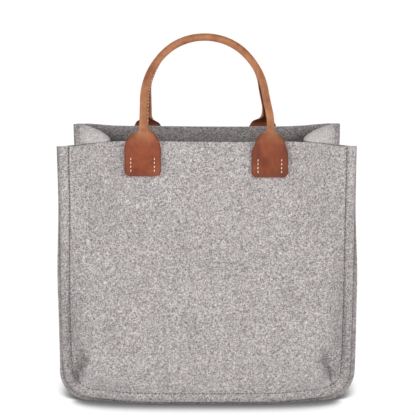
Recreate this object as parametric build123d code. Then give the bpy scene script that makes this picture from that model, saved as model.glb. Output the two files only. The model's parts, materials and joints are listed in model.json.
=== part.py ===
from build123d import *
import math
import os

# Felt tote bag for knitting: two felt panels sewn to one U-shaped gusset strip,
# and two rolled leather handles sewn on with flat tabs.
# Frame: +X right, +Y to the back, +Z up, origin on the floor under the middle.
# All lengths are in millimetres and all angles in degrees.

# Body of the bag
PANEL_WIDTH = 400.0
BAG_HEIGHT = 360.0
BAG_DEPTH = 200.0
FELT = 3.5
LAYER_GAP = 0.3
SEAM_INSET = 12.5
CORNER_RADIUS = 40.0
FLANGE_LEDGE = 4.0
LEDGE_FULL_Z = 200.0
LEDGE_END_Z = 290.0

# How far the panels lean in at the rim, at the seams and in the middle
FRONT_SEAM_LEAN = 7.0
FRONT_MIDDLE_LEAN = 38.0
BACK_SEAM_LEAN = 1.0
BACK_MIDDLE_LEAN = 16.0
LEAN_START_Z = 20.0
LEAN_POWER = 1.6
BOW_FLAT_X = 112.0
BOW_END_X = 183.0
FRONT_BELLY = 8.8
BACK_BELLY = 7.0
BELLY_TOP_Z = 250.0

# Inward fold of the gusset's sides. Its profile holds the place along the depth and the share of
# the fold there, and its sections are taken at the wall heights.
FOLD_DEPTH = 51.0
FOLD_POWER = 1.3
WALL_HEIGHTS = [75.0, 110.0, 155.0, 200.0, 245.0, 290.0, 325.0]
FOLD_PROFILE = [
    (0.0, 0.0),
    (0.053, 0.20),
    (0.128, 0.43),
    (0.16, 0.65),
    (0.187, 0.82),
    (0.23, 0.96),
    (0.29, 1.0),
    (0.42, 0.93),
    (0.545, 0.80),
    (0.706, 0.61),
    (0.845, 0.37),
    (0.949, 0.14),
    (1.0, 0.0),
]

# Machine stitches of the two body seams
SEAM_PITCH = 5.0
SEAM_STITCH_LENGTH = 3.6
SEAM_STITCH_WIDTH = 0.9
SEAM_STITCH_THICKNESS = 0.7

# Handles
HANDLE_SPACING = 173.0
ROLL_DIAMETER = 9.0
CORE_DIAMETER = 5.0
NECK_HEIGHT = 371.0
NECK_OUTWARD = 0.6
HANDLE_LEAN = 28.4
LEG_LENGTH = 47.1
SHOULDER_RADIUS = 105.0
CROWN_RADIUS = 79.0
CORE_START = 14.0

# Leather tabs
TAB_WIDTH = 49.5
TAB_THICKNESS = 2.6
TAB_DROP = 49.5
TAB_SHOULDER = 36.0
TAB_HEIGHT = 52.0
TAB_CORNER = 7.0
NECK_WIDTH = 11.0

# Hand stitches on the tabs and along the rolled handles
THREAD = 0.9
THREAD_GAP = 0.15
STITCH_LENGTH = 3.3
STITCH_PITCH = 5.1
TAB_ROW_OFFSET = 16.0
TAB_ROW_COUNT = 4
TAB_ROW_START = 8.5
ROLL_SEAM_ANGLE = 35.0

HALF_WIDTH = PANEL_WIDTH / 2
HALF_DEPTH = BAG_DEPTH / 2
SEAM_X = HALF_WIDTH - SEAM_INSET
FLANGE_X = HALF_WIDTH + FLANGE_LEDGE
FLANGE_RADIUS = CORNER_RADIUS + FLANGE_LEDGE
CORNER_X = HALF_WIDTH - CORNER_RADIUS
CORNER_Z = FLANGE_RADIUS
ROLL_RADIUS = ROLL_DIAMETER / 2


def smooth(value, start, end):
    """A smooth step from 0 at start to 1 at end."""
    share = min(1.0, max(0.0, (value - start) / (end - start)))
    return share * share * (3 - 2 * share)


def lean_share(z):
    """How much of the rim's inward lean is reached at height z."""
    share = max(0.0, z - LEAN_START_Z) / (BAG_HEIGHT - LEAN_START_Z)
    return share ** LEAN_POWER


def panel_distance(x, z, seam_lean, middle_lean, belly):
    """Distance of a panel's outer face from the bag's middle plane."""
    middle = 1 - smooth(abs(x), BOW_FLAT_X, BOW_END_X)
    lean = seam_lean + (middle_lean - seam_lean) * middle
    across = math.cos(math.pi / 2 * min(1.0, abs(x) / SEAM_X))
    upwards = math.sin(math.pi * min(1.0, max(0.0, z) / BELLY_TOP_Z))
    return HALF_DEPTH - lean * lean_share(z) + belly * across * upwards


def front_face_y(x, z):
    return -panel_distance(x, z, FRONT_SEAM_LEAN, FRONT_MIDDLE_LEAN, FRONT_BELLY)


def back_face_y(x, z):
    return panel_distance(x, z, BACK_SEAM_LEAN, BACK_MIDDLE_LEAN, BACK_BELLY)


def panel_outline():
    """The cut shape of a panel, a rectangle with two round bottom corners."""
    outline = Plane.XZ * Pos(0, FLANGE_LEDGE + BAG_HEIGHT / 2) * Rectangle(PANEL_WIDTH, BAG_HEIGHT)
    block = extrude(outline, BAG_DEPTH, both=True)
    bottom_corners = block.edges().filter_by(Axis.Y).group_by(Axis.Z)[0]
    block = fillet(bottom_corners, CORNER_RADIUS)
    return split(block, bisect_by=Plane.XY.offset(BAG_HEIGHT), keep=Keep.BOTTOM)


def make_panel(face_y, inward):
    """A curved felt sheet, cut to the panel's outline."""
    columns = 25
    rows = 19
    margin = 10.0
    points = []
    for column in range(columns):
        x = (HALF_WIDTH + margin) * (2 * column / (columns - 1) - 1)
        heights = [(BAG_HEIGHT + 2 * margin) * row / (rows - 1) - margin for row in range(rows)]
        points.append([(x, face_y(x, z), z) for z in heights])
    sheet = Face.make_surface_from_array_of_points(points, tol=0.02)
    amount = FELT * inward
    if sheet.normal_at(sheet.center()).Y < 0:
        amount = -amount
    return thicken(sheet, amount) & panel_outline()


def offset_inward(points, distance):
    """Move a side wall's points towards the middle of the bag, at right angles to the wall."""
    moved = []
    last = len(points) - 1
    for index, (x, y) in enumerate(points):
        before = points[max(0, index - 1)]
        after = points[min(last, index + 1)]
        run_x = after[0] - before[0]
        run_y = after[1] - before[1]
        length = math.hypot(run_x, run_y)
        if index in (0, last):
            moved.append((x - distance, y))
        else:
            moved.append((x - distance * run_y / length, y + distance * run_x / length))
    return moved


def gusset_section(z):
    """The gusset's level section at one side: flange, folded wall and flange."""
    front = front_face_y(HALF_WIDTH, z) + FELT + LAYER_GAP
    back = back_face_y(HALF_WIDTH, z) - FELT - LAYER_GAP
    tip = FLANGE_X - FLANGE_LEDGE * smooth(z, LEDGE_FULL_Z, LEDGE_END_Z)
    fold_share = max(0.0, (z - CORNER_Z) / (BAG_HEIGHT - CORNER_Z)) ** FOLD_POWER
    fold = FOLD_DEPTH * fold_share
    wall_front = front + FELT
    wall_back = back - FELT
    outer = [
        (SEAM_X - fold * share, wall_front + (wall_back - wall_front) * place)
        for place, share in FOLD_PROFILE
    ]
    inner = offset_inward(outer, FELT)
    inner[0] = (SEAM_X - FELT, front)
    inner[-1] = (SEAM_X - FELT, back)
    edges = [
        Spline(*[(x, y, z) for x, y in outer]),
        Line((SEAM_X, wall_back, z), (tip, wall_back, z)),
        Line((tip, wall_back, z), (tip, back, z)),
        Line((tip, back, z), (SEAM_X - FELT, back, z)),
        Spline(*[(x, y, z) for x, y in reversed(inner)]),
        Line((SEAM_X - FELT, front, z), (tip, front, z)),
        Line((tip, front, z), (tip, wall_front, z)),
        Line((tip, wall_front, z), (SEAM_X, wall_front, z)),
    ]
    return Face(Wire([curve.edge() for curve in edges]))


def gusset_half():
    """The gusset's right half: side wall, round corner and half of the base."""
    wall = loft([gusset_section(z) for z in [CORNER_Z, *WALL_HEIGHTS, BAG_HEIGHT]])
    low = gusset_section(CORNER_Z)
    turn_axis = Axis((CORNER_X, 0, CORNER_Z), (0, 1, 0))
    corner = revolve(low, axis=turn_axis, revolution_arc=90)
    base_end = low.rotate(turn_axis, 90)
    base = extrude(base_end, CORNER_X, dir=(-1, 0, 0))
    return wall + corner + base


def make_gusset():
    half = gusset_half()
    return half + mirror(half, about=Plane.YZ)


def seam_places():
    """Each seam stitch as its x, z and slope, along the U of the seam."""
    seam_radius = CORNER_RADIUS - SEAM_INSET
    side = BAG_HEIGHT - CORNER_Z
    corner = math.pi / 2 * seam_radius
    length = 2 * (side + corner + CORNER_X)
    count = int(length / SEAM_PITCH)
    places = []
    for index in range(count):
        along = (index + 0.5) * length / count
        sign = -1
        if along > length / 2:
            along = length - along
            sign = 1
        if along < side:
            places.append((sign * SEAM_X, BAG_HEIGHT - along, 90))
        elif along < side + corner:
            turn = (along - side) / seam_radius
            x = CORNER_X + seam_radius * math.cos(turn)
            z = CORNER_Z - seam_radius * math.sin(turn)
            places.append((sign * x, z, sign * (90 - math.degrees(turn))))
        else:
            x = CORNER_X - (along - side - corner)
            places.append((sign * x, CORNER_Z - seam_radius, 0))
    return places


def make_seam_stitches(face_y, outward):
    """The machine stitches that show on a panel's outer face."""
    bar = Box(SEAM_STITCH_LENGTH, SEAM_STITCH_THICKNESS, SEAM_STITCH_WIDTH)
    stitches = []
    for x, z, slope in seam_places():
        y = face_y(x, z) + outward * (SEAM_STITCH_THICKNESS / 2 + LAYER_GAP)
        stitches.append(Pos(x, y, z) * Rot(0, -slope, 0) * bar)
    return Compound(children=stitches)


def handle_path(start=0.0):
    """The handle's centre line in its own plane, from neck to neck, or from start above them."""
    half = HANDLE_SPACING / 2
    shoulder_x = half - SHOULDER_RADIUS
    turn = math.degrees(math.acos(-shoulder_x / (SHOULDER_RADIUS - CROWN_RADIUS)))
    crown_y = LEG_LENGTH - shoulder_x * math.tan(math.radians(turn))
    right_shoulder = CenterArc((shoulder_x, LEG_LENGTH), SHOULDER_RADIUS, 0, turn)
    crown = CenterArc((0, crown_y), CROWN_RADIUS, turn, 180 - 2 * turn)
    left_shoulder = CenterArc((-shoulder_x, LEG_LENGTH), SHOULDER_RADIUS, 180 - turn, turn)
    right_leg = Line((half, start), (half, LEG_LENGTH))
    left_leg = Line((-half, LEG_LENGTH), (-half, start))
    curves = [right_leg, right_shoulder, crown, left_shoulder, left_leg]
    return Wire([curve.edge() for curve in curves])


def handle_plane(neck_y, side):
    """The leaning plane of a handle; side is -1 at the front and 1 at the back."""
    lean = math.radians(HANDLE_LEAN)
    normal = (0, side * math.cos(lean), math.sin(lean))
    return Plane(origin=(0, neck_y, NECK_HEIGHT), x_dir=(-side, 0, 0), z_dir=normal)


def sweep_round(path, radius):
    start = Plane(origin=path @ 0, z_dir=path % 0)
    return sweep(start * Circle(radius), path=path)


def make_roll(path):
    """The rolled leather with closed round ends, hollow for its core."""
    roll = sweep_round(path, ROLL_RADIUS)
    for end in (path @ 0, path @ 1):
        roll += Pos(end) * Sphere(ROLL_RADIUS)
    return roll - sweep_round(path, CORE_DIAMETER / 2 + LAYER_GAP / 2)


def make_core():
    """The cord that keeps the roll round. It ends inside the roll, above the necks."""
    return sweep_round(handle_path(CORE_START), CORE_DIAMETER / 2)


def make_roll_stitches(path):
    """The stitches that close the roll, on its inner side and turned outwards."""
    seam_turn = math.radians(ROLL_SEAM_ANGLE)
    distance = ROLL_RADIUS + THREAD_GAP + THREAD / 2
    bar = Box(STITCH_LENGTH, THREAD, THREAD)
    count = int(path.length / STITCH_PITCH) - 2
    stitches = []
    for index in range(count):
        place = (index + 1.5) / (count + 2)
        point = path @ place
        tangent = path % place
        inner = Vector(-tangent.Y, tangent.X, 0)
        out = inner * math.cos(seam_turn) + Vector(0, 0, 1) * math.sin(seam_turn)
        stitches.append(Plane(origin=point + out * distance, x_dir=tangent, z_dir=out) * bar)
    return Compound(children=stitches)


def tab_plane(face_y, side, x):
    """The plane of a tab's inner face, against the panel, with its origin at the tab's foot."""
    foot_z = BAG_HEIGHT - TAB_DROP
    foot = face_y(x, foot_z) + side * LAYER_GAP
    rim = face_y(x, BAG_HEIGHT) + side * LAYER_GAP
    slope = math.atan2(rim - foot, TAB_DROP)
    normal = (0, side * math.cos(slope), -side * math.sin(slope))
    return Plane(origin=(x, foot, foot_z), x_dir=(-side, 0, 0), z_dir=normal)


def make_tab(plane):
    """A flat paddle that narrows to the neck of the roll."""
    half = TAB_WIDTH / 2
    neck = NECK_WIDTH / 2
    right_curve = Spline((half, TAB_SHOULDER), (neck, TAB_HEIGHT), tangents=[(0, 1), (-0.1, 1)])
    left_curve = Spline((-neck, TAB_HEIGHT), (-half, TAB_SHOULDER), tangents=[(-0.1, -1), (0, -1)])
    corner = TAB_CORNER
    curves = [
        Line((-half + corner, 0), (half - corner, 0)),
        CenterArc((half - corner, corner), corner, -90, 90),
        Line((half, corner), (half, TAB_SHOULDER)),
        right_curve,
        Line((neck, TAB_HEIGHT), (-neck, TAB_HEIGHT)),
        left_curve,
        Line((-half, TAB_SHOULDER), (-half, corner)),
        CenterArc((-half + corner, corner), corner, 180, 90),
    ]
    paddle = Face(Wire([curve.edge() for curve in curves]))
    return extrude(plane * paddle, TAB_THICKNESS, dir=plane.z_dir)


def make_tab_stitches(plane):
    """Two upright rows of hand stitches on a tab."""
    bar = Box(THREAD, STITCH_LENGTH, THREAD)
    height = TAB_THICKNESS + THREAD_GAP + THREAD / 2
    stitches = []
    for offset in (-TAB_ROW_OFFSET, TAB_ROW_OFFSET):
        for index in range(TAB_ROW_COUNT):
            along = TAB_ROW_START + index * STITCH_PITCH
            stitches.append(plane * Pos(offset, along, height) * bar)
    return Compound(children=stitches)


def make_handle(name, face_y, side):
    """All the pieces of one handle, by node name."""
    neck_x = HANDLE_SPACING / 2
    neck_y = face_y(neck_x, BAG_HEIGHT) + side * NECK_OUTWARD
    plane = handle_plane(neck_y, side)
    path = handle_path()
    pieces = {
        f"{name}_handle_roll": plane * make_roll(path),
        f"{name}_handle_core": plane * make_core(),
        f"{name}_handle_stitches": plane * make_roll_stitches(path),
    }
    for side_name, x in (("left", -neck_x), ("right", neck_x)):
        tab = tab_plane(face_y, side, x)
        pieces[f"{name}_{side_name}_tab"] = make_tab(tab)
        pieces[f"{name}_{side_name}_tab_stitches"] = make_tab_stitches(tab)
    return pieces


def make_bag():
    """Every piece of the bag, by node name."""
    pieces = {
        "front_panel": make_panel(front_face_y, 1),
        "back_panel": make_panel(back_face_y, -1),
        "side_and_base_gusset": make_gusset(),
        "front_seam_stitches": make_seam_stitches(front_face_y, -1),
        "back_seam_stitches": make_seam_stitches(back_face_y, 1),
    }
    pieces.update(make_handle("front", front_face_y, -1))
    pieces.update(make_handle("back", back_face_y, 1))
    return pieces


os.makedirs("parts", exist_ok=True)
for node, shape in make_bag().items():
    export_step(shape, f"parts/{node}.step")
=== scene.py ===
import json
import math
import random

import bpy
import numpy as np
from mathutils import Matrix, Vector


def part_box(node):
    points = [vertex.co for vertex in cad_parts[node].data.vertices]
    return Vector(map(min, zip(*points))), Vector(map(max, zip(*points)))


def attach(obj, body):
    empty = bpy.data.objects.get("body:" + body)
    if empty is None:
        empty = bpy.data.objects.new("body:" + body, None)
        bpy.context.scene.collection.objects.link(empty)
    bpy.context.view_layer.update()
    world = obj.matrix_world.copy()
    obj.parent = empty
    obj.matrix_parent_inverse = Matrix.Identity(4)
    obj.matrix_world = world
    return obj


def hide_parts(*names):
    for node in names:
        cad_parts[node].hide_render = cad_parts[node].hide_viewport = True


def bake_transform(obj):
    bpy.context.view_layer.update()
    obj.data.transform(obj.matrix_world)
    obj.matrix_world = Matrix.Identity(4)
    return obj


# A felt tote bag with rolled leather handles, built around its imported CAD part.
# Shapes are worked out in millimetres, in the frame's axes, and MM turns them into metres.

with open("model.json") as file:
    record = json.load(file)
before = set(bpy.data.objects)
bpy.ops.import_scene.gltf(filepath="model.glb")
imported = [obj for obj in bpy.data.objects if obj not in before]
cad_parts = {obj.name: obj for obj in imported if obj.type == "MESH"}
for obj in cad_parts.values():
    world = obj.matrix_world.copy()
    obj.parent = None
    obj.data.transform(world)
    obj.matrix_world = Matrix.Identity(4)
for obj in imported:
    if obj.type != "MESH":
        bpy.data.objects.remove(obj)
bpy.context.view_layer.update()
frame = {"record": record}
MM = 0.001


def node_box(node):
    """A CAD node's lowest and highest corner, in millimetres."""
    return [np.array(corner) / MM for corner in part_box(node)]


# Sizes read from the frame
PANEL_LOW, PANEL_HIGH = node_box("front_panel")
HALF_WIDTH = PANEL_HIGH[0]
RIM_Z = PANEL_HIGH[2]
PANEL_FOOT = PANEL_LOW[2]
HINGES = {joint["child"]: np.array(joint["pos_m"]) / MM for joint in frame["record"]["behaviour"]["joints"]}

# Felt body, as in the CAD part
HALF_DEPTH = 100.0
FELT = 3.5
LAYER_GAP = 0.3
SEAM_INSET = 12.5
CORNER_RADIUS = 40.0
CORNER_X = HALF_WIDTH - CORNER_RADIUS
CORNER_Z = PANEL_FOOT + CORNER_RADIUS
SEAM_X = HALF_WIDTH - SEAM_INSET
SEAM_RADIUS = CORNER_RADIUS - SEAM_INSET
LEAN_START_Z = 20.0
LEAN_POWER = 1.6
BOW_FLAT_X = 112.0
BOW_END_X = 183.0
BELLY_TOP_Z = 250.0
PANELS = {
    "front": {"side": -1, "seam_lean": 7.0, "middle_lean": 38.0, "belly": 8.8, "wave": 0.0, "dip": 2.2},
    "back": {"side": 1, "seam_lean": 1.0, "middle_lean": 16.0, "belly": 7.0, "wave": 2.1, "dip": -1.6},
}
# Each dent above a bottom corner: its side, x, z and depth
CORNER_DENTS = [(-1, 173.0, 51.0, 7.4), (1, 165.0, 51.0, 6.4)]
# The sides' inward fold: places from the front, 0, to the back, 1, and its share there
FOLD_DEPTH = 51.0
FOLD_POWER = 1.3
FOLD_PLACES = [0.0, 0.053, 0.128, 0.16, 0.187, 0.23, 0.29, 0.42, 0.545, 0.706, 0.845, 0.949, 1.0]
FOLD_SHARES = [0.0, 0.20, 0.43, 0.65, 0.82, 0.96, 1.0, 0.93, 0.80, 0.61, 0.37, 0.14, 0.0]

# Fullness that the soft felt has beyond the CAD part's plain shape
FOOT_BULGE = 14.0
BOX_BULGE = 6.0

# How far the bottom corners are drawn in, and how far a panel's foot stands above its CAD place
CORNER_DRAW = 2.2
FOOT_LIFT = 0.8

# Mesh spacing
CELL = 2.5
BORDER = 30.0

# Leather handles
LEATHER = 2.0
ROLL_RADIUS = 5.1
ROLL_MIDDLE = ROLL_RADIUS - LEATHER / 2
CORE_RADIUS = 2.5
CORE_SIDES = 12
# Points of the roll's path that the core ends short of it, at both ends
CORE_SETBACK = 6
HANDLE_LEAN = math.radians(28.4)
HANDLE_HALF = 86.5
LEG_LENGTH = 47.1
SHOULDER_RADIUS = 105.0
CROWN_RADIUS = 79.0
ROLL_START = 14.0
# How far a used handle sags on its right shoulder, and how far each whole handle has settled
CROOKED = 5.9
SETTLED = {"front": 0.9, "back": 1.7}
# Turns of the roll's lips at the left neck, the crown and the right neck, in degrees
TWISTS = {"front": (82, 4, -10), "back": (20, 0, -20)}
TWIST_Z = (362.0, 402.0)

# Each tab's foot height, shift along x, width, and how much higher than usual its roll closes
TABS = {
    ("front", -1): {"foot": 314.2, "shift": -0.4, "width": 48.4, "close": 2.0},
    ("front", 1): {"foot": 312.4, "shift": -1.2, "width": 48.6, "close": -6.0},
    ("back", -1): {"foot": 306.0, "shift": -2.2, "width": 48.5, "close": -5.5},
    ("back", 1): {"foot": 307.0, "shift": -3.5, "width": 48.5, "close": -5.5},
}
TAB_CORNER = 7.0
TAB_TOP_Z = 343.0
LIP_TURN = math.radians(150)
LIP_RADIUS = 1.44
LIP_LENGTH = 2.2
# The leather's round cut edge: level across its thickness, and how far it stands out there
EDGE_ROUND = [(0.92, 0.22), (0.6, 0.38), (0.0, 0.44), (-0.6, 0.38), (-0.92, 0.22)]
STITCH_LENGTH = 3.3
STITCH_PITCH = 5.1
THREAD_RADIUS = 0.5
SEAM_PITCH = 5.0
SEAM_THREAD_RADIUS = 0.52


# ---------------------------------------------------------------- small helpers

def smooth(value, start, end):
    """A smooth step from 0 at start to 1 at end, for numbers and arrays."""
    share = np.clip((value - start) / (end - start), 0.0, 1.0)
    return share * share * (3 - 2 * share)


def bump(value, centre, width):
    """A smooth round hill of height 1."""
    return np.exp(-((value - centre) / width) ** 2)


def unit(vectors):
    length = np.linalg.norm(vectors, axis=-1, keepdims=True)
    return vectors / np.maximum(length, 1e-9)


def make_mesh(name, points, faces, shade_smooth=True):
    """A mesh object from points in millimetres."""
    mesh = bpy.data.meshes.new(name)
    mesh.from_pydata([tuple(point) for point in np.asarray(points) * MM], [], faces)
    mesh.validate()
    mesh.update()
    if shade_smooth:
        mesh.polygons.foreach_set("use_smooth", [True] * len(mesh.polygons))
    piece = bpy.data.objects.new(name, mesh)
    bpy.context.collection.objects.link(piece)
    return piece


def apply_modifiers(piece):
    """Replaces a piece's mesh with what its modifiers make of it."""
    graph = bpy.context.evaluated_depsgraph_get()
    mesh = bpy.data.meshes.new_from_object(piece.evaluated_get(graph))
    piece.modifiers.clear()
    piece.data = mesh


def mesh_points(piece):
    """The vertices of a piece in millimetres, as an array."""
    points = np.empty(len(piece.data.vertices) * 3)
    piece.data.vertices.foreach_get("co", points)
    return points.reshape(-1, 3) / MM


def set_values(piece, name, values):
    """Stores one number per vertex, for the materials to read."""
    attribute = piece.data.attributes.new(name, "FLOAT", "POINT")
    attribute.data.foreach_set("value", np.asarray(values, dtype=np.float32))


def set_vectors(piece, name, vectors):
    """Stores one vector per vertex, for the materials to read."""
    attribute = piece.data.attributes.new(name, "FLOAT_VECTOR", "POINT")
    attribute.data.foreach_set("vector", np.asarray(vectors, dtype=np.float32).ravel())


def grid_faces(rows, columns, first=0, closed=False):
    """Quads of a grid of points stored row by row. A closed grid joins its last column to its first."""
    faces = []
    last = columns if closed else columns - 1
    for row in range(rows - 1):
        for column in range(last):
            here = first + row * columns + column
            beside = first + row * columns + (column + 1) % columns
            faces.append((here, beside, beside + columns, here + columns))
    return faces


# ---------------------------------------------------------------- the felt surfaces

def outline_inset(x, z):
    """Distance inwards from a panel's cut edge, along its sides, round corners and foot."""
    across = np.abs(x)
    straight = np.minimum(HALF_WIDTH - across, z - PANEL_FOOT)
    corner = CORNER_RADIUS - np.hypot(across - CORNER_X, CORNER_Z - z)
    return np.where((across > CORNER_X) & (z < CORNER_Z), corner, straight)


def panel_shape(x, z, kind):
    """How far a panel's outer face stands from the bag's middle plane, without its small details."""
    panel = PANELS[kind]
    middle = 1 - smooth(np.abs(x), BOW_FLAT_X, BOW_END_X)
    lean = panel["seam_lean"] + (panel["middle_lean"] - panel["seam_lean"]) * middle
    share = np.maximum(0.0, z - LEAN_START_Z) / (RIM_Z - LEAN_START_Z)
    inset = np.maximum(0.0, outline_inset(x, z) - SEAM_INSET)
    across = 1 - np.exp(-(inset / 15.0) ** 1.7)
    upwards = np.sin(math.pi * np.clip(z / BELLY_TOP_Z, 0, 1)) ** 0.8
    foot = FOOT_BULGE * (1 - smooth(np.abs(x), 70.0, 175.0)) * (1 - smooth(z, 10.0, 170.0))
    box = BOX_BULGE * across * (1 - smooth(z, 50.0, 260.0)) * smooth(np.abs(x), 60.0, 150.0)
    return HALF_DEPTH - lean * share ** LEAN_POWER + panel["belly"] * across * upwards + foot + box


def panel_details(x, z, kind):
    """Small outward offsets: the seam's groove, the dents by the corners and slow waves."""
    wave = PANELS[kind]["wave"]
    inset = outline_inset(x, z)
    groove = -1.1 * bump(inset, SEAM_INSET, 1.5) * (0.35 + 0.65 * smooth(z, 50.0, 120.0))
    roll = 0.5 * bump(inset, SEAM_INSET - 5.5, 3.5) + 0.7 * bump(inset, SEAM_INSET + 6.0, 4.5)
    dent = 0.0
    for sign, dent_x, dent_z, depth in CORNER_DENTS:
        along_x = sign * x - dent_x + 0.25 * (z - dent_z)
        dent = dent - depth * np.exp(-(along_x / 9.0) ** 2 - ((z - dent_z) / 30.0) ** 2)
        crease_x = sign * x - (dent_x + 8.5) + sign * 0.15 * (z - dent_z + 15.0)
        dent = dent - 2.6 * np.exp(-(crease_x / 2.2) ** 2 - ((z - dent_z + 15.0) / 6.5) ** 2)
    waves = 0.55 * np.sin(x / 31.0 + 1.3 + wave) * np.sin(z / 44.0 + 0.4 - wave)
    waves = waves + 0.3 * np.sin(x / 13.0 - z / 23.0 + wave) * np.sin(z / 17.0 + x / 37.0)
    return groove + roll + dent + waves * smooth(inset, SEAM_INSET, SEAM_INSET + 12)


def panel_hollow(x, z, kind):
    """How much a spot lies in the shade of its surroundings: the seam's groove and the pressed-in corners."""
    across = np.abs(x)
    seam_height = 0.15 + 0.40 * smooth(z, 60.0, 130.0) + 0.45 * smooth(z, 160.0, 280.0)
    seam = 0.34 * bump(outline_inset(x, z), SEAM_INSET, 1.2) * seam_height
    valley = 0.33 * bump(across, 184.0, 15.0) * (1 - smooth(z, 90.0, 290.0)) * smooth(z, 18.0, 45.0)
    dent = 0.0
    if kind == "front":
        uneven = 2.6 * np.sin(z / 4.3) + 1.8 * np.sin(z / 2.3 + x / 5.0)
        for sign, dent_x, dent_z, depth in CORNER_DENTS:
            along_x = sign * x - dent_x + 0.24 * (z - dent_z) + uneven
            dent = dent + 0.085 * depth * np.exp(-(along_x / 7.5) ** 2 - ((z - dent_z - 6.0) / 22.0) ** 2)
            crease_x = sign * x - (dent_x + 8.5) + sign * 0.15 * (z - dent_z + 15.0)
            dent = dent + 0.6 * np.exp(-(crease_x / 1.7) ** 2 - ((z - dent_z + 15.0) / 6.0) ** 2)
    return np.clip(1 - (1 - valley) * (1 - np.minimum(dent, 0.8)) * (1 - seam), 0, 1)


def panel_y(x, z, kind):
    """Y of a panel's outer face."""
    return PANELS[kind]["side"] * (panel_shape(x, z, kind) + panel_details(x, z, kind))


def rim_dip(x, z, kind):
    """How far the felt sinks near the rim's corners, or rises where that is negative."""
    depth = PANELS[kind]["dip"]
    near_rim = np.clip(z / RIM_Z, 0, 1) ** 6
    uneven = 0.5 * np.sin(x / 52.0 + 0.8)
    return near_rim * (depth * smooth(np.abs(x), 138.0, 190.0) + uneven)


def felt_point(x, z, kind, behind=0.0):
    """A point on a panel's outer face, or so far behind it."""
    y = panel_y(x, z, kind) - PANELS[kind]["side"] * behind
    return np.stack([x, y, z - rim_dip(x, z, kind)], axis=-1)


def panel_plan():
    """A panel's flat mesh in x and z: an inner grid, and a finer border round its sides and foot."""
    inner_half = HALF_WIDTH - BORDER
    inner_foot = PANEL_FOOT + BORDER
    radius = CORNER_RADIUS - BORDER
    turns = np.linspace(0, math.pi / 2, 13)
    rows = [
        (inner_foot + radius * (1 - math.cos(turn)), CORNER_X + radius * math.sin(turn))
        for turn in turns
    ]
    straight = np.linspace(CORNER_Z, RIM_Z, int((RIM_Z - CORNER_Z) / CELL) + 1)[1:]
    rows += [(z, inner_half) for z in straight]
    columns = int(2 * inner_half / CELL) + 1
    spread = np.linspace(-1, 1, columns)
    plan = [(half * share, z) for z, half in rows for share in spread]
    faces = grid_faces(len(rows), columns)

    count = len(rows)
    left = [row * columns for row in range(count - 1, 0, -1)]
    foot = list(range(columns))
    right = [row * columns + columns - 1 for row in range(1, count)]
    stations = left + foot + right
    steps = [3.5, 7.0, 10.0, 12.5, 14.0, 15.4, 16.5, 17.5, 18.5, 19.6, 21.0, 23.0, 25.5, 27.8, 29.2, BORDER]
    previous = stations
    for step in steps:
        ring = []
        for station in stations:
            x, z = plan[station]
            away_x, away_z = border_direction(x, z)
            ring.append(len(plan))
            plan.append((x + away_x * step, z + away_z * step))
        for index in range(len(stations) - 1):
            faces.append((previous[index], ring[index], ring[index + 1], previous[index + 1]))
        previous = ring
    return np.array(plan), faces


def border_direction(x, z):
    """The outward direction at a point of the inner grid's edge."""
    if z >= CORNER_Z - 1e-6:
        return (math.copysign(1, x), 0.0)
    if abs(x) <= CORNER_X + 1e-6:
        return (0.0, -1.0)
    run_x = abs(x) - CORNER_X
    run_z = z - CORNER_Z
    length = math.hypot(run_x, run_z)
    return (math.copysign(run_x / length, x), run_z / length)


def thicken(piece, thickness, offset, bevel):
    """Gives a felt sheet its thickness and softly rounded cut edges."""
    solid = piece.modifiers.new("thickness", "SOLIDIFY")
    solid.thickness = thickness * MM
    solid.offset = offset
    solid.use_even_offset = True
    soft = piece.modifiers.new("soft_edge", "BEVEL")
    soft.width = bevel * MM
    soft.segments = 2
    soft.limit_method = "ANGLE"
    soft.angle_limit = math.radians(55)
    apply_modifiers(piece)
    piece.data.polygons.foreach_set("use_smooth", [True] * len(piece.data.polygons))


def draw_in(points):
    """Draws a panel's sides in towards the rim, as the folded sides pull them, and its bottom corners too."""
    x, z = points[:, 0], points[:, 2]
    upper = smooth(z, 120.0, 310.0)
    left = (3.7 * upper + 0.4) * smooth(-x, 140.0, 195.0)
    right = (0.6 * upper + 1.0) * smooth(x, 140.0, 195.0)
    corner = CORNER_DRAW * smooth(np.abs(x), 120.0, 180.0) * (1 - smooth(z, 20.0, 75.0))
    points[:, 0] = x + left - right - np.sign(x) * corner
    points[:, 2] = z + 0.8 * corner + FOOT_LIFT * (1 - smooth(z, 4.0, 40.0))
    return points


def make_panel(kind):
    """One felt panel with its raw cut edges."""
    side = PANELS[kind]["side"]
    plan, faces = panel_plan()
    points = felt_point(plan[:, 0], plan[:, 1], kind)
    if side > 0:
        faces = [tuple(reversed(face)) for face in faces]
    piece = make_mesh(f"{kind}_felt_panel", points, faces)
    thicken(piece, FELT, -1, 0.7)
    points = mesh_points(piece)
    inset = np.maximum(0, outline_inset(points[:, 0], points[:, 2]))
    # Painted shade: a dark line along the panel's cut edge.
    set_values(piece, "raw_edge", np.exp(-inset / 1.2))
    depth = side * (panel_y(points[:, 0], points[:, 2], kind) - points[:, 1])
    # Marks the inner faces, which the felt's colour darkens as painted shade.
    set_values(piece, "inner_face", smooth(depth, 1.5, 3.0))
    set_values(piece, "ledge", np.zeros(len(points)))
    # Painted shade: inside, the panels darken towards the bottom; outside, they darken in the seam's groove,
    # the valleys along the lower sides and the dents by the corners.
    inner_shade = 0.32 * (1 - smooth(points[:, 2], 322.0, RIM_Z))
    outer_shade = panel_hollow(points[:, 0], points[:, 2], kind)
    set_values(piece, "painted_shade_and_light", np.where(depth < 1.5, outer_shade, inner_shade))
    piece.data.vertices.foreach_set("co", (draw_in(points) * MM).ravel())
    piece.data.update()
    return piece


# ---------------------------------------------------------------- the gusset

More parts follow.
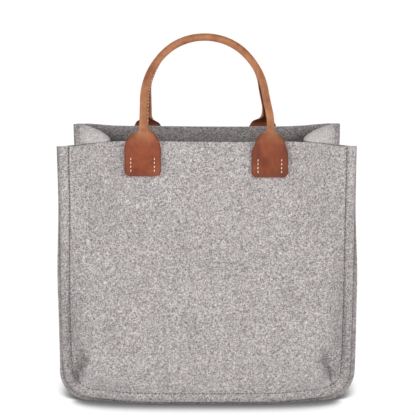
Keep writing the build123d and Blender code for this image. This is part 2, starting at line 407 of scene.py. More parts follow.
def seam_stations(spacing):
    """Points along the U of the seam, from the left rim to the right rim: x, z and the outward direction."""
    stations = []
    side_count = int((RIM_Z - CORNER_Z) / spacing)
    turn_count = int(math.pi / 2 * SEAM_RADIUS / spacing)
    base_count = int(2 * CORNER_X / spacing)
    for z in np.linspace(RIM_Z, CORNER_Z, side_count + 1):
        stations.append((-SEAM_X, z, -1.0, 0.0))
    for turn in np.linspace(0, math.pi / 2, turn_count + 1)[1:]:
        away = (-math.cos(turn), -math.sin(turn))
        stations.append((-CORNER_X + SEAM_RADIUS * away[0], CORNER_Z + SEAM_RADIUS * away[1], *away))
    for x in np.linspace(-CORNER_X, 0, base_count // 2 + 1)[1:]:
        stations.append((x, CORNER_Z - SEAM_RADIUS, 0.0, -1.0))
    mirrored = [(-x, z, -away_x, away_z) for x, z, away_x, away_z in reversed(stations[:-1])]
    return np.array(stations + mirrored)


def fold_profile(places):
    """The share of the side's inward fold at places from front, 0, to back, 1."""
    fine = np.linspace(0, 1, 401)
    shares = np.interp(fine, FOLD_PLACES, FOLD_SHARES)
    kernel = np.hanning(33)
    kernel = kernel / kernel.sum()
    padded = np.pad(shares, 16, mode="reflect", reflect_type="odd")
    return np.interp(places, fine, np.convolve(padded, kernel, mode="valid"))


def flange_reach(x, z):
    """How far the gusset's flange stands out past the seam. It shows past the panel in the lower half."""
    side_extra = smooth(x, 150.0, 190.0) * smooth(z, 10.0, 60.0)
    corner_extra = bump(np.abs(x), 186.0, 16.0) * bump(z, 18.0, 20.0)
    ledge = PANEL_FOOT + 1.8 * side_extra + 2.0 * corner_extra
    return SEAM_INSET + ledge * (1 - smooth(z, 165.0, 290.0)) - 0.3 + 0.2 * np.sin(z / 29.0 + x)


# The rows across a flange, as shares of its reach past the seam
FLANGE_SHARES = [0.15, 0.3, 0.45, 0.58, 0.67, 0.72, 0.75, 0.78, 0.81, 0.85, 0.9, 0.95, 1.0]


def gusset_rows():
    """The gusset's middle surface as rows of points, one row for each place across its width."""
    stations = seam_stations(CELL)
    x, z, away_x, away_z = stations.T
    wall_places = np.concatenate([np.linspace(0, 0.3, 24), np.linspace(0.3, 1, 40)[1:]])
    bend = 2.6
    rows = []

    def flange_row(kind, share):
        reach = flange_reach(x, z) * share
        px, pz = x + away_x * reach, z + away_z * reach
        rows.append(felt_point(px, np.maximum(pz, 0.0), kind, behind=FELT * 1.5 + LAYER_GAP))
        rows[-1][:, 2] = pz - rim_dip(px, pz, kind)

    for share in reversed(FLANGE_SHARES):
        flange_row("front", share)
    front = felt_point(x, z, "front", behind=FELT * 1.5 + LAYER_GAP)
    back = felt_point(x, z, "back", behind=FELT * 1.5 + LAYER_GAP)
    side_share = np.abs(away_x)
    climb = np.clip((z - CORNER_Z) / (RIM_Z - CORNER_Z), 0, 1)
    fold = FOLD_DEPTH * climb ** FOLD_POWER * (side_share > 0.999)
    base_share = smooth(-away_z, 0.6, 1.0) * (1 - smooth(np.abs(x), 40.0, CORNER_X + 25))
    swell = bump(z, 105.0, 60.0) * side_share
    for place in wall_places:
        share = float(fold_profile(place))
        arch = math.sin(math.pi * place) ** 0.7
        out = -FELT / 2 - fold * share + 4.0 * swell * arch + 6.0 * base_share * arch
        out = out + 0.5 * np.sin(z / 37.0 + place * 5.0) * arch * side_share
        y = front[:, 1] + bend + (back[:, 1] - front[:, 1] - 2 * bend) * place
        low = rim_dip(x, z, "front") * (1 - place) + rim_dip(x, z, "back") * place
        lowered = z - low * side_share - 1.5 * share * climb ** 8
        rows.append(np.stack([x + away_x * out, y, lowered + away_z * out], axis=-1))
    for share in FLANGE_SHARES:
        flange_row("back", share)
    return np.array(rows)


def make_gusset():
    """The long strip that makes both sides and the base, with its sewn flanges."""
    rows = gusset_rows()
    count, stations, _ = rows.shape
    piece = make_mesh("side_and_base_felt", rows.reshape(-1, 3), grid_faces(count, stations))
    thicken(piece, FELT, 0, 0.7)
    points = mesh_points(piece)
    inset = outline_inset(points[:, 0], points[:, 2])
    near_flange = smooth(-points[:, 1], 60.0, 85.0) + smooth(points[:, 1], 70.0, 85.0)
    near_flange = np.clip(near_flange, 0, 1)
    # Painted shade: the flange ledge that shows past the panels near the floor, and a dark line on the flange
    # right beside the panel's edge.
    ledge = smooth(-inset, -0.8, 0.4) * near_flange * (1 - 0.85 * smooth(points[:, 2], 8.0, 60.0))
    gap = bump(inset, 0.5, 0.9) * near_flange * (0.4 + 0.6 * smooth(points[:, 2], 8.0, 40.0))
    set_values(piece, "ledge", np.maximum(0.15 * ledge, gap))
    # Painted shade: darker along the rim's cut edge and on the flange strip that shows past the panels.
    rim = np.maximum(0, RIM_Z - 4.0 - points[:, 2])
    reach = np.where(inset < 3.0, 0.4, 0.0) * near_flange
    set_values(piece, "raw_edge", np.maximum(np.exp(-rim / 1.2) * 0.6, reach))
    set_values(piece, "inner_face", np.zeros(len(points)))
    # Painted light: a negative value lightens the sides' upper walls, away from the flanges.
    set_values(piece, "painted_shade_and_light", -0.13 * smooth(points[:, 2], 250.0, 340.0) * (1 - near_flange))
    return piece


# ---------------------------------------------------------------- stitches

class Thread:
    """Collects stitches into one mesh."""

    SIDES = 8
    RINGS = 9

    def __init__(self):
        self.points = []
        self.faces = []

    def add(self, start, end, normal, radius, rise, dive):
        """One stitch from start to end, that rises over the surface and dives into it at both ends."""
        start, end, normal = (np.array(value, dtype=float) for value in (start, end, normal))
        along = unit(end - start)
        across = unit(np.cross(normal, along))
        first = len(self.points)
        for ring in range(self.RINGS):
            share = ring / (self.RINGS - 1)
            arch = math.sin(math.pi * share) ** 0.5
            centre = start + (end - start) * share + normal * (rise * arch - dive * (1 - arch))
            twist = 0.12 * math.sin(ring * 2.1)
            size = radius * (0.72 + 0.28 * arch + 0.06 * math.sin(ring * 2.4))
            for side in range(self.SIDES):
                turn = 2 * math.pi * side / self.SIDES + twist
                offset = across * math.cos(turn) + normal * math.sin(turn) * 0.85
                self.points.append(centre + offset * size)
        self.faces += grid_faces(self.RINGS, self.SIDES, first, closed=True)
        self.faces.append(tuple(range(first + self.SIDES - 1, first - 1, -1)))
        last = first + (self.RINGS - 1) * self.SIDES
        self.faces.append(tuple(range(last, last + self.SIDES)))

    def build(self, name):
        return make_mesh(name, self.points, self.faces)


def make_seam_stitches(kind, chance):
    """The machine seam through a panel and the gusset's flange, seen on both faces."""
    side = PANELS[kind]["side"]
    thread = Thread()
    fine = seam_stations(1.0)
    length = len(fine) - 1
    count = int(length / SEAM_PITCH)
    for index in range(count):
        first, last = (index + 0.16) * length / count, (index + 0.84) * length / count
        for behind, normal in ((0.0, side), (2 * FELT + LAYER_GAP, -side)):
            ends = []
            for place in (first, last):
                low = int(place)
                x, z = fine[low, :2] + (fine[min(low + 1, length), :2] - fine[low, :2]) * (place - low)
                x += chance.uniform(-0.12, 0.12)
                ends.append(felt_point(np.float64(x), np.float64(z), kind, behind=behind))
            thread.add(*ends, (0, normal, 0), SEAM_THREAD_RADIUS, 0.25, 0.7)
    thread.points = list(draw_in(np.array(thread.points)))
    return thread.build(f"{kind}_seam_thread")


# ---------------------------------------------------------------- leather handles

def handle_axes(kind):
    """A resting handle's upward direction, and the direction that its face looks in, away from the bag."""
    side = PANELS[kind]["side"]
    up = np.array([0, -side * math.sin(HANDLE_LEAN), math.cos(HANDLE_LEAN)])
    out = np.array([0, side * math.cos(HANDLE_LEAN), math.sin(HANDLE_LEAN)])
    return up, out


def roll_path(spacing):
    """The handle's centre line in its own plane, from the left neck to the right: points and directions."""
    shoulder_x = HANDLE_HALF - SHOULDER_RADIUS
    turn = math.acos(-shoulder_x / (SHOULDER_RADIUS - CROWN_RADIUS))
    crown_y = LEG_LENGTH - shoulder_x * math.tan(turn)
    points = []

    def add_arc(centre, radius, start, end):
        steps = max(2, int(radius * abs(end - start) / spacing))
        for angle in np.linspace(start, end, steps + 1)[1:]:
            place = (centre[0] + radius * math.cos(angle), centre[1] + radius * math.sin(angle))
            points.append((*place, math.sin(angle), -math.cos(angle)))

    leg = np.linspace(ROLL_START, LEG_LENGTH, int((LEG_LENGTH - ROLL_START) / spacing) + 1)
    points += [(-HANDLE_HALF, height, 0.0, 1.0) for height in leg]
    add_arc((-shoulder_x, LEG_LENGTH), SHOULDER_RADIUS, math.pi, math.pi - turn)
    add_arc((0, crown_y), CROWN_RADIUS, math.pi - turn, turn)
    add_arc((shoulder_x, LEG_LENGTH), SHOULDER_RADIUS, turn, 0)
    points += [(HANDLE_HALF, height, 0.0, -1.0) for height in leg[::-1][1:]]
    return np.array(points)


def crooked_path(kind):
    """The centre line with the soft sag of a handle in use, lower on its right shoulder, and its lengths."""
    path = roll_path(1.6)
    lengths = np.concatenate([[0], np.cumsum(np.hypot(*np.diff(path[:, :2], axis=0).T))])
    share = lengths / lengths[-1]
    sag = CROOKED * smooth(share, 0.15, 0.75) * (1 - smooth(share, 0.87, 1.0))
    sag = sag + SETTLED[kind] * np.sin(math.pi * share)
    moved = path.copy()
    moved[:, 0] += path[:, 3] * sag
    moved[:, 1] -= path[:, 2] * sag
    run = unit(np.gradient(moved[:, :2], axis=0))
    moved[:, 2:] = run
    lengths = np.concatenate([[0], np.cumsum(np.hypot(*np.diff(moved[:, :2], axis=0).T))])
    return moved, lengths


def lip_angle(distance):
    """Turn of the closed roll's section at a distance from its spine: round, then back to two flat lips."""
    round_end = ROLL_MIDDLE * LIP_TURN
    turned = np.minimum(distance, round_end) / ROLL_MIDDLE
    back = np.clip((distance - round_end) / LIP_RADIUS, 0, LIP_TURN - math.pi / 2)
    return turned - back


# Half the width of the roll's strip, from its spine to a lip's cut edge
ROLL_HALF = ROLL_MIDDLE * LIP_TURN + LIP_RADIUS * (LIP_TURN - math.pi / 2) + LIP_LENGTH


def strip_section(half, closing, thickness):
    """A closed loop round the leather's section: across and inward offsets, side marks and edge distances."""
    shares = np.linspace(0, 1, 27)
    angles = lip_angle(shares * ROLL_HALF) * closing
    step = half / (len(shares) - 1)
    middle = (angles[1:] + angles[:-1]) / 2
    across = np.concatenate([[0], np.cumsum(np.cos(middle) * step)])
    inward = np.concatenate([[0], np.cumsum(np.sin(middle) * step)])
    normal_x, normal_in = np.sin(angles), -np.cos(angles)
    run_x, run_in = np.cos(angles), np.sin(angles)
    lift_x, lift_in = normal_x * thickness / 2, normal_in * thickness / 2
    outer = list(zip(across + lift_x, inward + lift_in))
    inner = list(zip(across - lift_x, inward - lift_in))
    edge = []
    for level, back in EDGE_ROUND:
        edge.append((
            across[-1] + run_x[-1] * back + lift_x[-1] * level,
            inward[-1] + run_in[-1] * back + lift_in[-1] * level,
        ))
    half_loop = outer + edge + inner[::-1]
    side = [0.0] * len(outer) + [0.5] * len(edge) + [1.0] * len(inner)
    reach = [half * (1 - s) for s in shares] + [0.0] * len(edge) + [half * (1 - s) for s in shares[::-1]]
    mirrored = [(-a, i) for a, i in half_loop[::-1]]
    loop = half_loop + mirrored[1:-1]
    sides = side + side[::-1][1:-1]
    reaches = reach + reach[::-1][1:-1]
    signed = [half - r for r in reach] + [-(half - r) for r in reach[::-1][1:-1]]
    return np.array(loop), np.array(sides), np.array(reaches), np.array(signed)


def tab_half_width(tab, z):
    """Half the leather's width at height z on the tab and up to the roll."""
    width = tab["width"] / 2
    width -= (width - ROLL_HALF) * smooth(z, 347.0 + tab["close"], 384.0 + tab["close"])
    up = z - tab["foot"]
    if up < TAB_CORNER:
        width -= TAB_CORNER - math.sqrt(max(0.0, TAB_CORNER ** 2 - (TAB_CORNER - up) ** 2))
    return width


def neck_stations(kind, hinge, x_sign):
    """Stations from a tab's foot up to the roll: point, direction, height, closing, thickness."""
    side = PANELS[kind]["side"]
    up, out = handle_axes(kind)
    tab = TABS[(kind, x_sign)]
    x = x_sign * HANDLE_HALF + tab["shift"]
    top = np.array([x_sign * HANDLE_HALF, hinge[1], hinge[2]]) + up * ROLL_START + out * ROLL_MIDDLE
    lift = LEATHER / 2 + LAYER_GAP

    def on_felt(z):
        return np.array([x, float(panel_shape(x, z, kind)) * side + side * lift, z])

    stations = []
    heights = [0.0, 0.25, 0.7, 1.4, 2.4, 3.8, 5.4, 7.2] + list(np.arange(9.0, TAB_TOP_Z - tab["foot"], 1.6))
    for height in heights:
        z = tab["foot"] + height
        run = unit(on_felt(z + 1) - on_felt(z - 1))
        stations.append((on_felt(z), run, z, 0.0, min(1.0, 0.45 + height)))
    start = on_felt(TAB_TOP_Z)
    start_run = unit(on_felt(TAB_TOP_Z + 1) - on_felt(TAB_TOP_Z - 1))
    reach = np.linalg.norm(top - start)
    for share in np.linspace(0, 1, 36)[:-1]:
        a = 2 * share ** 3 - 3 * share ** 2 + 1
        b = share ** 3 - 2 * share ** 2 + share
        c = -2 * share ** 3 + 3 * share ** 2
        d = share ** 3 - share ** 2
        point = a * start + b * start_run * reach + c * top + d * up * reach
        slope = (6 * share ** 2 - 6 * share) * (start - top)
        slope = slope + (3 * share ** 2 - 4 * share + 1) * start_run * reach
        slope = slope + (3 * share ** 2 - 2 * share) * up * reach
        closing = float(smooth(point[2], RIM_Z + 0.5, 384.0 + tab["close"] / 2))
        stations.append((point, unit(slope), point[2], closing, 1.0))
    return stations


def handle_stations(kind, twists):
    """Every station of a handle's leather, from the left tab's foot over the roll to the right tab's foot."""
    hinge = HINGES[f"{kind}_handle"]
    up, out = handle_axes(kind)
    left_twist, crown_twist, right_twist = (math.radians(value) for value in twists)
    stations = []
    for point, run, z, closing, slim in neck_stations(kind, hinge, -1):
        twist = left_twist * smooth(z, *TWIST_Z)
        stations.append((point, run, tab_half_width(TABS[(kind, -1)], z), closing, twist, slim, z))
    path, lengths = crooked_path(kind)
    for (x, height, run_x, run_up), along in zip(path, lengths):
        axis = np.array([x, hinge[1], hinge[2]]) + up * height
        share = along / lengths[-1]
        early = left_twist + (crown_twist - left_twist) * smooth(share, 0.10, 0.40)
        twist = early + (right_twist - crown_twist) * smooth(share, 0.60, 0.9)
        z = axis[2] + out[2] * ROLL_MIDDLE
        twist = twist * smooth(z, *TWIST_Z)
        run = np.array([run_x, 0, 0]) + up * run_up
        stations.append((axis + out * ROLL_MIDDLE, unit(run), ROLL_HALF, 1.0, twist, 1.0, z))
    for point, run, z, closing, slim in reversed(neck_stations(kind, hinge, 1)):
        twist = right_twist * smooth(z, *TWIST_Z)
        stations.append((point, -run, tab_half_width(TABS[(kind, 1)], z), closing, twist, slim, z))
    return stations


def section_frame(kind, station):
    """The section's directions at a station after its twist: spine point, across and outward."""
    point, run, _, _, twist, _, _ = station
    side = PANELS[kind]["side"]
    across = unit(np.cross(run, (0, side, 0.001)))
    outward = unit(np.cross(across, run))
    if outward[1] * side < 0:
        outward = -outward
    across = unit(np.cross(outward, run))
    pivot = point - outward * ROLL_MIDDLE
    turned_out = outward * math.cos(twist) + across * math.sin(twist)
    turned_across = across * math.cos(twist) - outward * math.sin(twist)
    return pivot + turned_out * ROLL_MIDDLE, turned_across, turned_out


def make_leather(kind, twists):
    """One handle's leather: tab, neck, roll, neck and tab from a single strip."""
    stations = handle_stations(kind, twists)
    points, sides, reaches, strip, tabness, painted_leather_shade = [], [], [], [], [], []
    along = 0.0
    previous = None
    for station in stations:
        spine, across, outward = section_frame(kind, station)
        _, _, half, closing, _, slim, z = station
        loop, side, reach, signed = strip_section(half, closing, LEATHER * slim)
        points.append(spine + loop[:, :1] * across - loop[:, 1:] * outward)
        along += 0.0 if previous is None else float(np.linalg.norm(spine - previous))
        previous = spine
        sides.append(side)
        reaches.append(reach)
        strip.append(np.stack([signed, np.full(len(signed), along), side * 3.0], axis=-1) * MM)
        tabness.append(np.full(len(signed), 1 - float(smooth(z, 352.0, 378.0))))
        # Painted shade: the right tabs are a little darker than the left, the tabs darken at their foot, and
        # the flesh side inside the closed roll is darkened.
        tab_side_shade = 0.20 if spine[0] > 0 else 0.02
        outer_shade = tabness[-1] * tab_side_shade + 0.15 * bump(z, TABS[(kind, -1)]["foot"], 9.0)
        hidden_shade = 0.8 * smooth(side, 0.6, 0.9) * smooth(closing, 0.10, 0.55)
        painted_leather_shade.append(np.maximum(outer_shade, hidden_shade))
    loop_size = len(points[0])
    faces = grid_faces(len(stations), loop_size, closed=True)
    last = (len(stations) - 1) * loop_size
    faces.append(tuple(range(loop_size - 1, -1, -1)))
    faces.append(tuple(range(last, last + loop_size)))
    piece = make_mesh(f"{kind}_leather_handle", np.concatenate(points), faces)
    set_values(piece, "flesh_side", np.concatenate(sides))
    set_values(piece, "cut_edge", np.exp(-np.concatenate(reaches) / 0.9))
    set_vectors(piece, "strip", np.concatenate(strip))
    set_values(piece, "tab", np.concatenate(tabness))
    set_values(piece, "painted_leather_shade", np.concatenate(painted_leather_shade))
    return piece


def make_core(kind):
    """The cord inside the roll, along the same line."""
    hinge = HINGES[f"{kind}_handle"]
    up, out = handle_axes(kind)
    path, _ = crooked_path(kind)
    path = path[CORE_SETBACK:-CORE_SETBACK]
    points = []
    for x, height, run_x, run_up in path:
        centre = np.array([x, hinge[1], hinge[2]]) + up * height
        across = np.cross(np.array([run_x, 0, 0]) + up * run_up, out)
        for turn in np.linspace(0, 2 * math.pi, CORE_SIDES, endpoint=False):
            points.append(centre + (out * math.cos(turn) + across * math.sin(turn)) * CORE_RADIUS)
    faces = grid_faces(len(path), CORE_SIDES, closed=True)
    faces.append(tuple(range(CORE_SIDES)))
    faces.append(tuple(range(len(points) - 1, len(points) - CORE_SIDES - 1, -1)))
    return make_mesh(f"{kind}_cord_core", points, faces)


def make_lip_stitches(kind, twists, chance):
    """The hand stitches through the two lips of the roll, seen on both of their faces."""
    thread = Thread()
    stations = [station for station in handle_stations(kind, twists) if station[3] > 0.97]
    frames = [section_frame(kind, station) for station in stations]
    spines = np.array([spine for spine, _, _ in frames])
    lengths = np.concatenate([[0], np.cumsum(np.linalg.norm(np.diff(spines, axis=0), axis=1))])
    loop, _, _, _ = strip_section(ROLL_HALF, 1.0, LEATHER)
    lip_depth = loop[:, 1].max() - LIP_LENGTH * 0.62
    count = int(lengths[-1] / STITCH_PITCH)

    def lip_point(place, face):
        values = []
        for axis in range(3):
            spine = np.interp(place, lengths, spines[:, axis])
            across = np.interp(place, lengths, [frame[1][axis] for frame in frames])
            outward = np.interp(place, lengths, [frame[2][axis] for frame in frames])
            values.append((spine, across, outward))
        spine, across, outward = np.array(values).T
        return spine - unit(outward) * lip_depth + unit(across) * face * (LEATHER + 0.1), unit(across) * face

    for index in range(count):
        centre = (index + 0.5) * lengths[-1] / count + chance.uniform(-0.15, 0.15)
        for face in (-1, 1):
            start, normal = lip_point(centre - STITCH_LENGTH / 2, face)
            end, _ = lip_point(centre + STITCH_LENGTH / 2, face)
            thread.add(start, end, normal, THREAD_RADIUS * 0.9, 0.2, 0.5)
    return thread.build(f"{kind}_roll_thread")


def make_tab_stitches(kind, chance):
    """Two upright rows of four waxed stitches on each tab."""
    side = PANELS[kind]["side"]
    thread = Thread()
    for x_sign in (-1, 1):
        tab = TABS[(kind, x_sign)]
        for offset in (-16.0, 16.0):
            for index in range(4):
                z = tab["foot"] + 7.6 + index * STITCH_PITCH + chance.uniform(-0.2, 0.2)
                x = x_sign * HANDLE_HALF + tab["shift"] + offset + chance.uniform(-0.15, 0.15)
                ends = []
                for end in (-0.5, 0.5):
                    height = z + end * STITCH_LENGTH
                    face = float(panel_shape(x, height, kind)) + LAYER_GAP + LEATHER
                    ends.append((x + end * 0.35, side * face, height))
                thread.add(*ends, (0, side, 0), THREAD_RADIUS * 1.4, 0.4, 0.8)
    return thread.build(f"{kind}_tab_thread")


# ---------------------------------------------------------------- materials

class Nodes:
    """Short ways to build a procedural material."""

    def __init__(self, name):
        self.material = bpy.data.materials.new(name)
        self.material.use_nodes = True
        self.tree = self.material.node_tree
        self.shader = self.tree.nodes["Principled BSDF"]

    def add(self, kind, **settings):
        node = self.tree.nodes.new(kind)
        for name, value in settings.items():
            setattr(node, name, value)
        return node

    def link(self, source, target):
        self.tree.links.new(source, target)

    def noise(self, vector, scale, detail=2.0, rough=0.5, distortion=0.0):
        node = self.add("ShaderNodeTexNoise")
        self.link(vector, node.inputs["Vector"])
        node.inputs["Scale"].default_value = scale
        node.inputs["Detail"].default_value = detail
        node.inputs["Roughness"].default_value = rough
        node.inputs["Distortion"].default_value = distortion
        return node.outputs["Fac"]

    def turned(self, vector, turn, stretch):
        node = self.add("ShaderNodeMapping")
        self.link(vector, node.inputs["Vector"])
        node.inputs["Rotation"].default_value = turn
        node.inputs["Scale"].default_value = stretch
        return node.outputs["Vector"]

    def ramp(self, value, stops):
        node = self.add("ShaderNodeValToRGB")
        self.link(value, node.inputs["Fac"])
        elements = node.color_ramp.elements
        while len(elements) < len(stops):
            elements.new(0.5)
        for element, (place, color) in zip(elements, stops):
            element.position = place
            element.color = (*color, 1.0)
        return node.outputs["Color"]

    def mix(self, share, first, second, blend="MIX"):
        node = self.add("ShaderNodeMix", data_type="RGBA", blend_type=blend)
        for socket, value in ((node.inputs[0], share), (node.inputs[6], first), (node.inputs[7], second)):
            if isinstance(value, (int, float)):
                socket.default_value = value
            elif isinstance(value, tuple):
                socket.default_value = (*value, 1.0)
            else:
                self.link(value, socket)
        return node.outputs[2]

    def math(self, operation, first, second):
        node = self.add("ShaderNodeMath", operation=operation)
        for socket, value in zip(node.inputs, (first, second)):
            if isinstance(value, (int, float)):
                socket.default_value = value
            else:
                self.link(value, socket)
        return node.outputs[0]

    def attribute(self, name, output="Fac"):
        return self.add("ShaderNodeAttribute", attribute_name=name).outputs[output]

    def place(self):
        return self.add("ShaderNodeTexCoord").outputs["Object"]

    def bump(self, height, strength, distance, under=None):
        node = self.add("ShaderNodeBump")
        self.link(height, node.inputs["Height"])
        node.inputs["Strength"].default_value = strength
        node.inputs["Distance"].default_value = distance
        if under is not None:
            self.link(under, node.inputs["Normal"])
        return node.outputs["Normal"]

    def finish(self, color, roughness, normal):
        self.link(color, self.shader.inputs["Base Color"])
        if isinstance(roughness, (int, float)):
            self.shader.inputs["Roughness"].default_value = roughness
        else:
            self.link(roughness, self.shader.inputs["Roughness"])
        self.link(normal, self.shader.inputs["Normal"])
        return self.material


def srgb(red, green, blue):
    """A linear colour from 8-bit sRGB values, none of them close to black."""
    return tuple(((value / 255 + 0.055) / 1.055) ** 2.4 for value in (red, green, blue))


FIBRE_TURN = (0.3, 0.5, 0.2)


def felt_material():
    """Pressed melange wool: pale and dark fibres in every direction and a soft bloom, with painted shade on
    the raw edges, the flange ledge, the grooves, dents and inner faces, and painted light on the sides' upper
    walls.
    """
    make = Nodes("melange_felt")
    place = make.place()
    fibres = []
    for stretch, scale in (((0.45, 1.0, 1.0), 640), ((1.0, 0.45, 1.0), 610), ((1.0, 1.0, 0.45), 670)):
        fibres.append(make.noise(make.turned(place, FIBRE_TURN, stretch), scale, 3.0, 0.62, 0.4))
    mixed = make.math("ADD", make.math("ADD", fibres[0], fibres[1]), fibres[2])
    fleck = make.math("MULTIPLY", mixed, 1 / 3)
    # Painted shade: where the felt lies in shade, the fibre mix tips towards its darker flecks.
    shaded = make.math("SUBTRACT", fleck, make.math("MULTIPLY", make.attribute("painted_shade_and_light"), 0.045))
    color = make.ramp(shaded, [
        (0.385, srgb(84, 77, 77)),
        (0.44, srgb(124, 117, 117)),
        (0.50, srgb(166, 160, 159)),
        (0.55, srgb(194, 190, 188)),
        (0.615, srgb(222, 219, 217)),
    ])
    clumps = make.noise(place, 150, 3.0, 0.6)
    color = make.mix(0.55, color, make.ramp(clumps, [
        (0.30, (0.60, 0.59, 0.59)),
        (0.50, (0.97, 0.97, 0.97)),
        (0.72, (1.18, 1.17, 1.16)),
    ]), "MULTIPLY")
    dark = make.noise(make.turned(place, (0.7, 0.2, 1.4), (1.0, 0.5, 0.8)), 330, 2.0, 0.7)
    dark_mask = make.ramp(dark, [(0.66, (0, 0, 0)), (0.76, (1, 1, 1))])
    color = make.mix(make.math("MULTIPLY", dark_mask, 0.55), color, srgb(96, 88, 88))
    cloudy = make.ramp(make.noise(place, 26, 2.0, 0.5), [
        (0.35, (0.95, 0.95, 0.95)),
        (0.65, (1.03, 1.03, 1.03)),
    ])
    color = make.mix(1.0, color, cloudy, "MULTIPLY")
    tint = make.noise(place, 210, 1.0, 0.5)
    color = make.mix(0.10, color, make.ramp(tint, [(0.35, srgb(170, 178, 186)), (0.65, srgb(200, 178, 170))]))
    # Painted shade: darker along the raw cut edges and on the flange strip that shows past the panels.
    raw = make.attribute("raw_edge")
    color = make.mix(make.math("MULTIPLY", raw, 0.55), color, srgb(116, 108, 107))
    # Painted shade: a dark line on the flange beside each panel's edge, and a darker flange ledge near the
    # floor.
    ledge = make.attribute("ledge")
    color = make.mix(make.math("MULTIPLY", ledge, 0.72), color, srgb(84, 78, 78))
    # Painted shade and light: the colour darkens in the grooves, dents, valleys and inside the bag, and
    # lightens on the sides' upper walls.
    painted_shade_and_light = make.math("SUBTRACT", 1.0, make.math("MULTIPLY", make.attribute("painted_shade_and_light"), 0.75))
    color = make.mix(1.0, color, painted_shade_and_light, "MULTIPLY")
    # Painted shade: the panels' inner faces are darker throughout.
    inner = make.attribute("inner_face")
    inside_shade = make.math("SUBTRACT", 1.0, make.math("MULTIPLY", inner, 0.20))
    color = make.mix(1.0, color, inside_shade, "MULTIPLY")
    fuzz = make.math("ADD", fleck, make.math("MULTIPLY", clumps, 0.5))
    hair = make.noise(place, 2200, 3.0, 0.7)
    normal = make.bump(hair, 0.35, 0.0004)
    normal = make.bump(fuzz, 0.55, 0.0011, under=normal)
    make.shader.inputs["Sheen Weight"].default_value = 0.35
    make.shader.inputs["Sheen Roughness"].default_value = 0.6
    make.shader.inputs["Specular IOR Level"].default_value = 0.15
    return make.finish(color, 0.96, normal)


def leather_material():
    """Cognac vegetable-tanned leather: lighter where it is rolled and darker and redder on the tabs, as
    painted light and shade, with more painted shade on the right tabs and inside the closed roll.
    """
    make = Nodes("cognac_leather")
    strip = make.attribute("strip", "Vector")
    cloudy = make.noise(strip, 38, 4.0, 0.6, 0.6)
    # Painted light and shade: the roll's ramp is a lighter, lit copy of the leather and the tabs' ramp a
    # darker, redder shaded copy.
    rolled = make.ramp(cloudy, [
        (0.32, srgb(146, 88, 56)),
        (0.50, srgb(170, 111, 74)),
        (0.68, srgb(188, 130, 90)),
    ])
    flat = make.ramp(cloudy, [
        (0.30, srgb(120, 56, 34)),
        (0.50, srgb(143, 72, 43)),
        (0.70, srgb(160, 86, 52)),
    ])
    color = make.mix(make.attribute("tab"), rolled, flat)
    # Painted shade: darker on the right tabs, at the tabs' foot and inside the closed roll.
    deeper = make.math("SUBTRACT", 1.0, make.attribute("painted_leather_shade"))
    color = make.mix(1.0, color, deeper, "MULTIPLY")
    streaks = make.noise(make.turned(strip, (0, 0, 0), (1.0, 0.12, 1.0)), 420, 3.0, 0.6)
    color = make.mix(0.35, color, make.ramp(streaks, [
        (0.35, (0.72, 0.68, 0.64)),
        (0.65, (1.10, 1.10, 1.10)),
    ]), "MULTIPLY")
    edge = make.attribute("cut_edge")
    color = make.mix(make.math("MULTIPLY", edge, 0.75), color, srgb(92, 44, 30))
    flesh = make.attribute("flesh_side")
    suede = make.ramp(make.noise(strip, 900, 3.0, 0.6), [(0.3, srgb(116, 60, 40)), (0.7, srgb(150, 84, 58))])
    color = make.mix(make.ramp(flesh, [(0.55, (0, 0, 0)), (0.75, (1, 1, 1))]), color, suede)
    pores = make.add("ShaderNodeTexVoronoi", feature="DISTANCE_TO_EDGE")
    make.link(strip, pores.inputs["Vector"])
    pores.inputs["Scale"].default_value = 1100
    grain = make.ramp(pores.outputs["Distance"], [(0.0, (0, 0, 0)), (0.25, (1, 1, 1))])
    wrinkles = make.noise(make.turned(strip, (0, 0, 0), (0.6, 1.6, 1.0)), 160, 4.0, 0.55, 0.5)
    normal = make.bump(grain, 0.14, 0.00025)
    normal = make.bump(wrinkles, 0.22, 0.0006, under=normal)
    rough = make.ramp(make.noise(strip, 260, 3.0, 0.6), [
        (0.3, (0.40, 0.40, 0.40)),
        (0.7, (0.58, 0.58, 0.58)),
    ])
    rough = make.mix(flesh, rough, (0.9, 0.9, 0.9))
    make.shader.inputs["Specular IOR Level"].default_value = 0.28
    return make.finish(color, rough, normal)


def thread_material(name, light, dark, roughness):
    """Twisted thread, with fine plies along the stitch."""
    make = Nodes(name)
    place = make.place()
    plies = make.noise(make.turned(place, (0.4, 0.7, 0.3), (1.0, 1.0, 2.4)), 1500, 2.0, 0.6)
    color = make.ramp(plies, [(0.3, dark), (0.6, light)])
    return make.finish(color, roughness, make.bump(plies, 0.5, 0.0003))


def floor_material():
    """A lit white studio floor, with a soft grey shade where something stands close to it."""
    make = Nodes("studio_floor")
    closeness = make.add("ShaderNodeAmbientOcclusion", samples=48)
    closeness.inputs["Distance"].default_value = 0.11
    shade = make.ramp(closeness.outputs["AO"], [
        (0.43, (0.13, 0.13, 0.13)),
        (0.55, (0.28, 0.28, 0.28)),
        (0.605, (0.70, 0.70, 0.70)),
        (0.655, (1.0, 1.0, 1.0)),
    ])
    make.shader.inputs["Base Color"].default_value = (0, 0, 0, 1)
    make.shader.inputs["Roughness"].default_value = 1.0
    make.shader.inputs["Specular IOR Level"].default_value = 0.0
    make.link(shade, make.shader.inputs["Emission Color"])
    make.shader.inputs["Emission Strength"].default_value = 1.03
    return make.material


def dress(piece, material, body, nodes):
    """Gives a piece its material and its body, and hides the CAD nodes that it stands for."""
    piece.data.materials.clear()
    piece.data.materials.append(material)
    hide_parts(*nodes)
    if body is not None:
        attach(piece, body)


# ---------------------------------------------------------------- stage

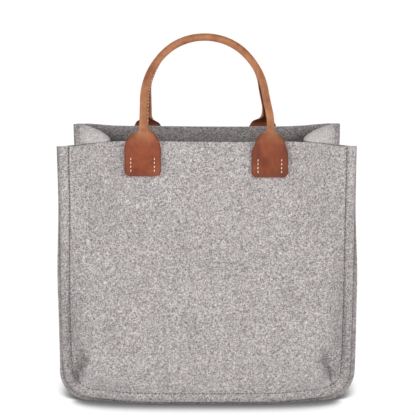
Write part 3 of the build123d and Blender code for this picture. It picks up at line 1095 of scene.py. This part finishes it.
def make_floor():
    size = 60.0
    corners = np.array([(-size, -size, 0), (size, -size, 0), (size, size, 0), (-size, size, 0)]) / MM
    floor = make_mesh("floor", corners, [(0, 1, 2, 3)], shade_smooth=False)
    floor.data.materials.append(floor_material())


def add_area_light(name, place, target, size, power):
    light = bpy.data.lights.new(name, "AREA")
    light.shape = "DISK"
    light.size = size
    light.energy = power
    holder = bpy.data.objects.new(name, light)
    holder.location = place
    holder.rotation_euler = (Vector(target) - Vector(place)).to_track_quat("-Z", "Y").to_euler()
    bpy.context.collection.objects.link(holder)


def make_lights():
    world = bpy.data.worlds.new("studio")
    world.use_nodes = True
    background = world.node_tree.nodes["Background"]
    tree = world.node_tree
    direction = tree.nodes.new("ShaderNodeTexCoord")
    parts = tree.nodes.new("ShaderNodeSeparateXYZ")
    brightness = tree.nodes.new("ShaderNodeMapRange")
    brightness.inputs["From Min"].default_value = 0.04
    brightness.inputs["From Max"].default_value = 0.22
    brightness.inputs["To Min"].default_value = 1.0
    brightness.inputs["To Max"].default_value = 0.27
    tree.links.new(direction.outputs["Generated"], parts.inputs["Vector"])
    tree.links.new(parts.outputs["Z"], brightness.inputs["Value"])
    tree.links.new(brightness.outputs["Result"], background.inputs["Strength"])
    background.inputs["Color"].default_value = (1, 1, 1, 1)
    bpy.context.scene.world = world
    add_area_light("back_softbox", (0.0, 2.4, 0.6), (0, 0, 0.2), 0.9, 9)
    add_area_light("front_softbox", (0.0, -2.4, 0.45), (0, 0, 0.2), 0.9, 5)
    add_area_light("left_softbox", (-1.7, -0.8, 1.0), (0, 0, 0.25), 1.0, 22.5)
    add_area_light("right_softbox", (1.7, -0.8, 1.0), (0, 0, 0.25), 1.0, 22)
    bpy.context.scene.view_settings.view_transform = "Standard"


def make_camera():
    """The camera stands in front of the bag, a little above its rim, and looks slightly down."""
    distance = 1.471
    height = 0.585
    pitch = math.radians(12.66)
    focal_length = 91.2
    lens = bpy.data.cameras.new("camera")
    lens.lens = focal_length
    lens.sensor_width = 36
    lens.clip_start = 0.05
    lens.clip_end = 200
    camera = bpy.data.objects.new("camera", lens)
    camera.location = (0.0009, -distance, height)
    camera.rotation_euler = (math.pi / 2 - pitch, 0, 0)
    bpy.context.collection.objects.link(camera)
    bpy.context.scene.camera = camera


# ---------------------------------------------------------------- the bag

def build_felt(felt, seam_thread):
    gusset = make_gusset()
    dress(gusset, felt, "bag", ["side_and_base_gusset"])
    chance = random.Random(7)
    for kind in PANELS:
        panel = make_panel(kind)
        dress(panel, felt, "bag", [f"{kind}_panel"])
        stitches = make_seam_stitches(kind, chance)
        dress(stitches, seam_thread, "bag", [f"{kind}_seam_stitches"])


def build_handle(kind, twists, leather, waxed, chance):
    body = f"{kind}_handle"
    sides = ("left", "right")
    hide = make_leather(kind, twists)
    dress(hide, leather, None, [f"{kind}_handle_roll"] + [f"{kind}_{side}_tab" for side in sides])
    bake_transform(hide)
    roll_thread = make_lip_stitches(kind, twists, chance)
    dress(roll_thread, waxed, None, [f"{kind}_handle_stitches"])
    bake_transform(roll_thread)
    tab_thread = make_tab_stitches(kind, chance)
    dress(tab_thread, waxed, "bag", [f"{kind}_{side}_tab_stitches" for side in sides])
    core = make_core(kind)
    dress(core, waxed, body, [f"{kind}_handle_core"])


def build_bag():
    felt = felt_material()
    leather = leather_material()
    waxed = thread_material("waxed_thread", srgb(240, 226, 204), srgb(196, 174, 146), 0.6)
    seam_thread = thread_material("seam_thread", srgb(92, 85, 83), srgb(52, 47, 46), 0.8)
    build_felt(felt, seam_thread)
    chance = random.Random(11)
    for kind in PANELS:
        build_handle(kind, TWISTS[kind], leather, waxed, chance)


make_camera()
make_lights()
make_floor()
build_bag()
